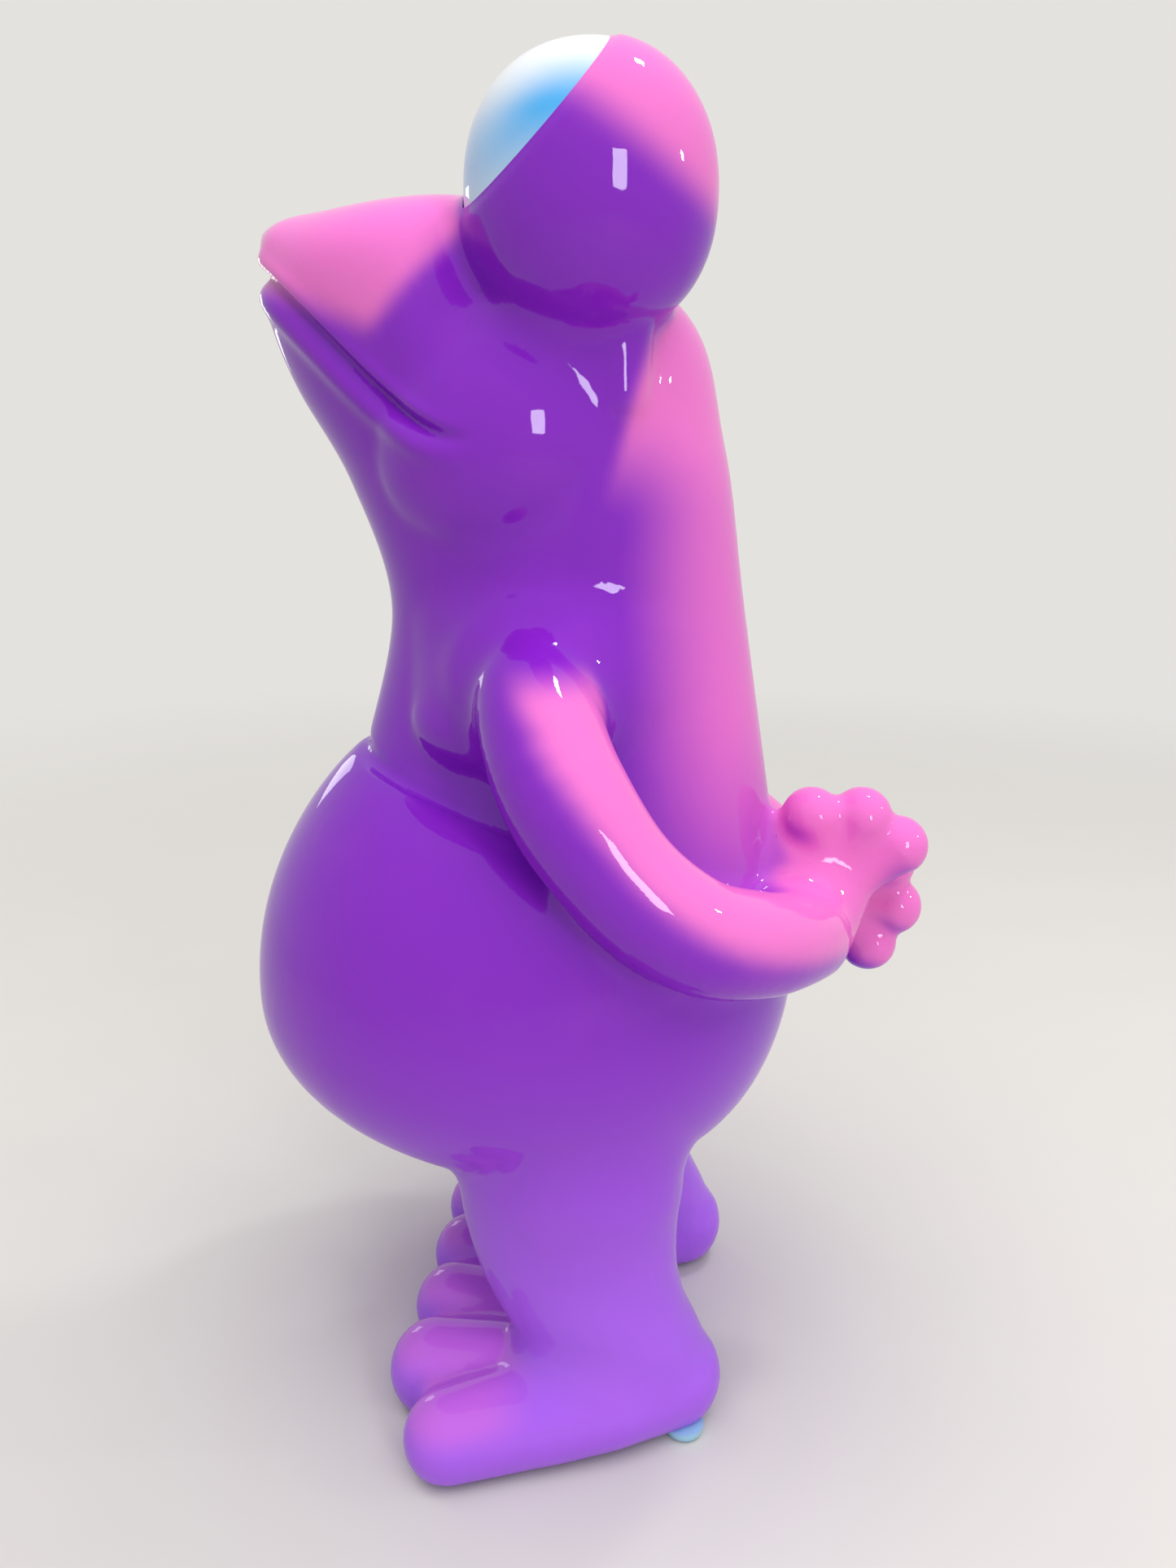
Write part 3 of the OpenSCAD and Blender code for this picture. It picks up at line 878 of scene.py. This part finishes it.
def lacquer(paint):
    """Sprayed gloss lacquer over soft vinyl, with painted light and shade: pink where a warm lamp falls,
    purple in the shade and lighter violet low down
    """
    if "Gloss lacquer" in bpy.data.materials:
        return bpy.data.materials["Gloss lacquer"]
    material, tree = blank_material("Gloss lacquer")
    # Painted light: the pink attribute is how far a warm lamp lights each point pink; the purple and violet
    # are the shaded lacquer.
    pink = add(tree, "Attribute", {}, attribute_name="pink").outputs["Fac"]
    low = add(tree, "Attribute", {}, attribute_name="low").outputs["Fac"]
    cloud = noise(tree, LIT_AND_GLOSS_CLOUD, 3)
    shift = add(tree, "MapRange", {"Value": cloud, "To Min": -0.05, "To Max": 0.05}).outputs["Result"]
    lit_share = add(tree, "Math", {0: pink, 1: shift}, operation="ADD", use_clamp=True).outputs["Value"]
    # Painted light and shade: purple for the shaded lacquer, turning a lighter lit violet towards the feet.
    shaded_and_low_lit = mix(tree, low, (*paint.purple, 1), (*paint.violet, 1))
    both = mix(tree, lit_share, shaded_and_low_lit, (*paint.pink, 1))
    # Lacquer flows out almost flat; only a faint orange peel is left.
    peel = noise(tree, ORANGE_PEEL, 1)
    bump = add(tree, "Bump", {"Height": peel, "Strength": 0.012, "Distance": 0.3 * MM}).outputs["Normal"]
    gloss = add(tree, "MapRange", {"Value": cloud, "To Min": 0.1, "To Max": 0.17}).outputs["Result"]
    skin = add(tree, "BsdfPrincipled", {
        "Base Color": both,
        "Roughness": gloss,
        "Specular IOR Level": 0,
        "Coat Weight": 0.75,
        "Coat Roughness": 0.03,
        "Normal": bump,
        "Coat Normal": bump,
    })
    add(tree, "OutputMaterial", {"Surface": skin.outputs["BSDF"]})
    return material


def eye_enamel(paint):
    """White gloss enamel with painted shade, a pale blue cast low down, and a painted pupil"""
    if "Gloss eye enamel" in bpy.data.materials:
        return bpy.data.materials["Gloss eye enamel"]
    material, tree = blank_material("Gloss eye enamel")
    out = add(tree, "Attribute", {}, attribute_name=FROM_MIDDLE).outputs["Vector"]
    rise = add(tree, "SeparateXYZ", {"Vector": out}).outputs["Z"]
    ray = add(tree, "VectorMath", {0: out}, operation="NORMALIZE").outputs["Vector"]
    facing = add(tree, "VectorMath", {0: ray, 1: PUPIL_WAY}, operation="DOT_PRODUCT").outputs["Value"]
    edge = math.cos(PUPIL_SPREAD)
    pupil = add(tree, "MapRange", {"Value": facing, "From Min": edge - 0.004, "From Max": edge + 0.004})
    cloud = noise(tree, SHADE_CLOUD, 2)
    # Painted shade: the white turns pale blue along the lid's edge and thins out towards the top and the
    # front.
    proud = add(tree, "VectorMath", {0: out, 1: lid_plane(1)[1]}, operation="DOT_PRODUCT").outputs["Value"]
    rim = ramp(tree, proud, (LID_EDGE + 17) * MM, (LID_EDGE + 2) * MM)
    drop = ramp(tree, rise, 30 * MM, 12 * MM)
    foot = ramp(tree, rise, 16 * MM, -8 * MM, 1, 0.3)
    blue_shade = math_node(tree, "MULTIPLY", math_node(tree, "MULTIPLY", drop, rim), foot)
    uneven = add(tree, "Math", {0: cloud, 1: 0.1, 2: blue_shade}, operation="MULTIPLY_ADD", use_clamp=True)
    tint = mix(tree, uneven.outputs["Value"], (*paint.white, 1), (*paint.blue_shade, 1))
    skin = add(tree, "BsdfPrincipled", {
        "Base Color": mix(tree, pupil.outputs["Result"], tint, (*paint.pupil, 1)),
        "Roughness": 0.12,
        "Specular IOR Level": 0,
        "Coat Weight": 1.0,
        "Coat Roughness": 0.02,
    })
    add(tree, "OutputMaterial", {"Surface": skin.outputs["BSDF"]})
    return material


def clear_rubber(paint):
    """Clear self-adhesive polyurethane, a little hazy inside"""
    material, tree = blank_material("Clear polyurethane")
    haze = noise(tree, RUBBER_HAZE, 2)
    rough = add(tree, "MapRange", {"Value": haze, "To Min": 0.08, "To Max": 0.25}).outputs["Result"]
    skin = add(tree, "BsdfPrincipled", {"Base Color": (*paint.rubber, 1), "Roughness": rough, "IOR": 1.49,
                                        "Transmission Weight": 0.15})
    add(tree, "OutputMaterial", {"Surface": skin.outputs["BSDF"]})
    return material


def colour(code, name, about):
    return FloatVectorProperty(name=name, description=about, subtype="COLOR", size=3, min=0, max=1,
                               default=linear(code)[:3])


class FrogSizes(PropertyGroup):
    voxel: FloatProperty(name="Skin grain", description="Grain at which the forms are fused into one skin",
                         default=1.3 * MM, min=0.8 * MM, max=3 * MM, unit="LENGTH")
    lid_step: FloatProperty(name="Lid step", description="How far the eye white sits in from the lid",
                            default=0.2 * MM, min=0, max=4 * MM, unit="LENGTH")
    eye_push: FloatProperty(name="Eye push", description="How far the eye white stands out of the lid",
                            default=0.25 * MM, min=0, max=5 * MM, unit="LENGTH")
    bumper_r: FloatProperty(name="Bumper radius", description="Radius of a clear bumper under the sole",
                            default=6.3 * MM, min=3 * MM, max=9 * MM, unit="LENGTH")


class FrogPaint(PropertyGroup):
    # Painted light and shade: pink and purple are lit and shaded copies of one lacquer colour, pink where a
    # warm lamp from above and behind falls.
    purple: colour("861FC4", "Purple", "Ground colour of the lacquer")
    # Painted light: the legs and feet are a lighter violet where more light falls on them.
    violet: colour("A95EEC", "Violet", "Lighter ground colour of the legs and feet")
    pink: colour("EE74CB", "Pink", "Sprayed colour over the upper side and back")
    white: colour("F6F7F8", "White", "Eye white")
    # Painted shade: the pale blue of the eye white where it is shaded.
    blue_shade: colour("4DB2F4", "Mist", "Pale blue low on the eye white")
    pupil: colour("0E0D12", "Pupil", "Painted pupil")
    rubber: colour("A9DDF7", "Rubber", "Clear bumper")
    floor: colour("DAD7D2", "Floor", "Plain pale floor")


class FROG_OT_hands(Operator):
    """Cuts the two joined hands, with three fingers each, from the skin"""
    bl_idname = "frog.hands"
    bl_label = "Hands"

    def execute(self, context):
        tool = tool_of(("left", hand, LEFT_PALM, LEFT_TIPS, HAND_ROOM),
                       ("right", hand, RIGHT_PALM, RIGHT_TIPS, HAND_ROOM))
        pair(context, take(context, tool), "hand")
        return {"FINISHED"}


class FROG_OT_arms(Operator):
    """Cuts the arms, from the shoulder to the wrist"""
    bl_idname = "frog.arms"
    bl_label = "Arms"

    def execute(self, context):
        pair(context, take(context, tool_of(("both", tube, ARM, 0.2, ARM_ROOM))), "arm")
        return {"FINISHED"}


class FROG_OT_eyelids(Operator):
    """Cuts the eye bulbs and opens them at the lid's edge"""
    bl_idname = "frog.eyelids"
    bl_label = "Eyelids"

    def execute(self, context):
        tool = tool_of(("left", bulb, BULB_ROOM), ("right", bulb, BULB_ROOM, RIGHT_EYE_SHIFT))
        bulbs = halved(take(context, tool), Vector(), Vector((1, 0, 0)))
        head = head_tool()
        for mesh, side, node in zip(bulbs, (-1, 1), ("right_eyelid", "left_eyelid")):
            cap = new_object("cap", halved(bulb_mesh(side, LID_CLEARANCE), *lid_plane(side))[1])
            cap.data = cut(cap, head, "DIFFERENCE")
            whole = new_object("whole", mesh)
            finished(cut(whole, cap, "DIFFERENCE"), node, lacquer(context.scene.frog_paint))
            for spare in (cap, whole):
                bpy.data.objects.remove(spare)
        bpy.data.objects.remove(head)
        return {"FINISHED"}


class FROG_OT_legs(Operator):
    """Cuts the legs, each with its heel and three toes"""
    bl_idname = "frog.legs"
    bl_label = "Legs"

    def execute(self, context):
        pair(context, take(context, tool_of(("both", leg, LEG_ROOM), ("both", foot_room))), "leg")
        return {"FINISHED"}


class FROG_OT_shells(Operator):
    """Parts what is left of the skin at the neck and the waist crease"""
    bl_idname = "frog.shells"
    bl_label = "Head, chest and belly"

    def execute(self, context):
        body = bpy.data.objects.get(SKIN)
        if body is None:
            raise RuntimeError("the limbs are cut before the shells")
        waist = halved(body.data, *station_plane(COLUMN[0]))
        neck = halved(waist[1], *station_plane(along(COLUMN, NECK_T)))
        bpy.data.objects.remove(body)
        paint = lacquer(context.scene.frog_paint)
        for mesh, node in zip((waist[0], *neck), ("belly_shell", "chest_shell", "head_shell")):
            finished(mesh, node, paint)
        return {"FINISHED"}


class FROG_OT_eyes(Operator):
    """Turns the eye whites and trims them at the lids"""
    bl_idname = "frog.eyes"
    bl_label = "Eyes"

    def execute(self, context):
        sizes = context.scene.frog_sizes
        push = lid_plane(1)[1] * sizes.eye_push / MM
        head = head_tool()
        for side, node in ((1, "left_eye"), (-1, "right_eye")):
            whole = bulb_mesh(side, -sizes.lid_step / MM, push)
            dome = new_object("dome", halved(whole, *lid_plane(side))[1])
            mesh = cut(dome, head, "DIFFERENCE")
            bpy.data.objects.remove(dome)
            middle = EYE + (RIGHT_EYE_SHIFT if side < 0 else Vector())
            marks = mesh.attributes.new(FROM_MIDDLE, "FLOAT_VECTOR", "POINT")
            for vert, mark in zip(mesh.vertices, marks.data):
                mark.vector = Vector((side * vert.co.x, *vert.co.yz)) - middle * MM
            finished(mesh, node, eye_enamel(context.scene.frog_paint))
        bpy.data.objects.remove(head)
        return {"FINISHED"}


class FROG_OT_bumpers(Operator):
    """Presses four clear domed bumpers under the heels and toes"""
    bl_idname = "frog.bumpers"
    bl_label = "Bumper feet"

    def execute(self, context):
        radius = context.scene.frog_sizes.bumper_r
        bm = bmesh.new()
        for x, y in ((x * side, y) for x, y in BUMPERS for side in (1, -1)):
            part = bmesh.new()
            place = Matrix.Translation((x * MM, y * MM, 0))
            bmesh.ops.create_circle(part, cap_ends=True, radius=radius, segments=48, matrix=place)
            grown = bmesh.ops.extrude_face_region(part, geom=part.faces[:])["geom"]
            raised = [g for g in grown if isinstance(g, bmesh.types.BMVert)]
            bmesh.ops.translate(part, vec=(0, 0, SOLE_Z * MM), verts=raised)
            bmesh.ops.recalc_face_normals(part, faces=part.faces)
            rim = [e for e in part.edges if all(v.co.z < 1e-6 for v in e.verts)]
            bmesh.ops.bevel(part, geom=rim, offset=BUMPER_ROUND * MM, segments=6, profile=0.5,
                            affect="EDGES", material=-1)
            join(bm, part)
        mesh = bpy.data.meshes.new("bumpers")
        bm.to_mesh(mesh)
        bm.free()
        finished(mesh, "bumper_feet", clear_rubber(context.scene.frog_paint))
        return {"FINISHED"}


class FROG_OT_stage(Operator):
    """Lays a pale floor and sets soft studio light and the camera"""
    bl_idname = "frog.stage"
    bl_label = "Stage"

    def execute(self, context):
        scene = context.scene
        bm = bmesh.new()
        bmesh.ops.create_circle(bm, cap_ends=True, radius=FLOOR_R, segments=96)
        mesh = bpy.data.meshes.new("floor")
        bm.to_mesh(mesh)
        bm.free()
        mesh.materials.append(floor_material(scene.frog_paint))
        new_object("floor", mesh)
        for name, place, aim, width, height, power in LAMPS:
            lamp = bpy.data.lights.new(name, "AREA")
            lamp.shape = "RECTANGLE"
            lamp.size, lamp.size_y, lamp.energy = width, height, power
            made = new_object(name, lamp)
            made.location = place
            made.rotation_euler = (Vector(aim) - Vector(place)).to_track_quat("-Z", "Y").to_euler()
            made.visible_glossy = width < PANEL_W
            made.visible_camera = False
        scene.world = studio_world()
        lens = bpy.data.cameras.new("Camera")
        lens.lens = PHOTO_F * lens.sensor_width
        camera = new_object("Camera", lens)
        camera.location = Vector(CAMERA) * MM
        flat = math.cos(CAMERA_PITCH)
        ahead = -Vector((math.cos(CAMERA_YAW) * flat, math.sin(CAMERA_YAW) * flat, math.sin(CAMERA_PITCH)))
        camera.rotation_euler = ahead.to_track_quat("-Z", "Y").to_euler()
        scene.camera = camera
        scene.view_settings.view_transform = "Standard"
        return {"FINISHED"}


class FROG_PT_sidebar(Panel):
    bl_label = "Standing frog figure"
    bl_idname = "FROG_PT_sidebar"
    bl_space_type = "VIEW_3D"
    bl_region_type = "UI"
    bl_category = "Frog"

    def draw(self, context):
        for group in (context.scene.frog_sizes, context.scene.frog_paint):
            for name in group.__annotations__:
                self.layout.prop(group, name)
        for operator in OPERATORS:
            self.layout.operator(operator.bl_idname)


def lid_plane(side):
    """A point on the lid's edge plane and the way the eye looks out of it"""
    way = Vector((math.sin(LID_TURN) * math.cos(LID_TILT), -math.cos(LID_TURN) * math.cos(LID_TILT),
                  math.sin(LID_TILT)))
    mirror = Matrix.Diagonal((side, 1, 1))
    middle = mirror @ EYE + (RIGHT_EYE_SHIFT if side < 0 else Vector())
    return (middle + LID_EDGE * (mirror @ way)) * MM, mirror @ way


def station_plane(station):
    """The plane of a ring round the body, facing up"""
    place = station_hoop(station)
    return place.translation * MM, Vector(place.col[2][:3])


def floor_material(paint):
    """Matt pale card, fading out into the backdrop"""
    material, tree = blank_material("Matt card")
    place = add(tree, "TexCoord", {}).outputs["Object"]
    away = add(tree, "VectorMath", {0: place}, operation="LENGTH").outputs["Value"]
    grain = noise(tree, CARD_GRAIN, 3)
    pale = add(tree, "MapRange", {"Value": grain, "To Min": 0.97, "To Max": 1.0}).outputs["Result"]
    base = add(tree, "VectorMath", {0: paint.floor, "Scale": pale}, operation="SCALE").outputs["Vector"]
    card = add(tree, "BsdfDiffuse", {"Color": base}).outputs["BSDF"]
    clear = add(tree, "BsdfTransparent", {}).outputs["BSDF"]
    fade = ramp(tree, away, 0.25 * FLOOR_R, 0.95 * FLOOR_R)
    mixed = add(tree, "MixShader", {0: fade, 1: card, 2: clear}).outputs["Shader"]
    add(tree, "OutputMaterial", {"Surface": mixed})
    return material


def studio_world():
    """A pale backdrop to the camera, in reflections and through clear parts, and an even soft light"""
    world = bpy.data.worlds.new("Studio")
    world.use_nodes = True
    tree = world.node_tree
    tree.nodes.clear()
    path = add(tree, "LightPath", {}).outputs
    seen = math_node(tree, "MAXIMUM", path["Is Camera Ray"], path["Is Transmission Ray"])
    seen = math_node(tree, "MAXIMUM", seen, path["Is Glossy Ray"])
    light = add(tree, "Background", {"Color": (1, 1, 1, 1), "Strength": WORLD_LIGHT}).outputs["Background"]
    backdrop = add(tree, "Background", {"Color": linear(BACKDROP), "Strength": 1}).outputs["Background"]
    mixed = add(tree, "MixShader", {0: seen, 1: light, 2: backdrop}).outputs["Shader"]
    add(tree, "OutputWorld", {"Surface": mixed})
    return world


OPERATORS = (FROG_OT_hands, FROG_OT_arms, FROG_OT_eyelids, FROG_OT_legs, FROG_OT_shells, FROG_OT_eyes,
             FROG_OT_bumpers, FROG_OT_stage)
CLASSES = (FrogSizes, FrogPaint, *OPERATORS, FROG_PT_sidebar)


def register():
    for cls in CLASSES:
        bpy.utils.register_class(cls)
    bpy.types.Scene.frog_sizes = PointerProperty(type=FrogSizes)
    bpy.types.Scene.frog_paint = PointerProperty(type=FrogPaint)


def unregister():
    del bpy.types.Scene.frog_paint
    del bpy.types.Scene.frog_sizes
    for cls in reversed(CLASSES):
        bpy.utils.unregister_class(cls)


def main():
    register()
    for operator in OPERATORS:
        group, name = operator.bl_idname.split(".")
        getattr(getattr(bpy.ops, group), name)()


if __name__ == "__main__":
    main()
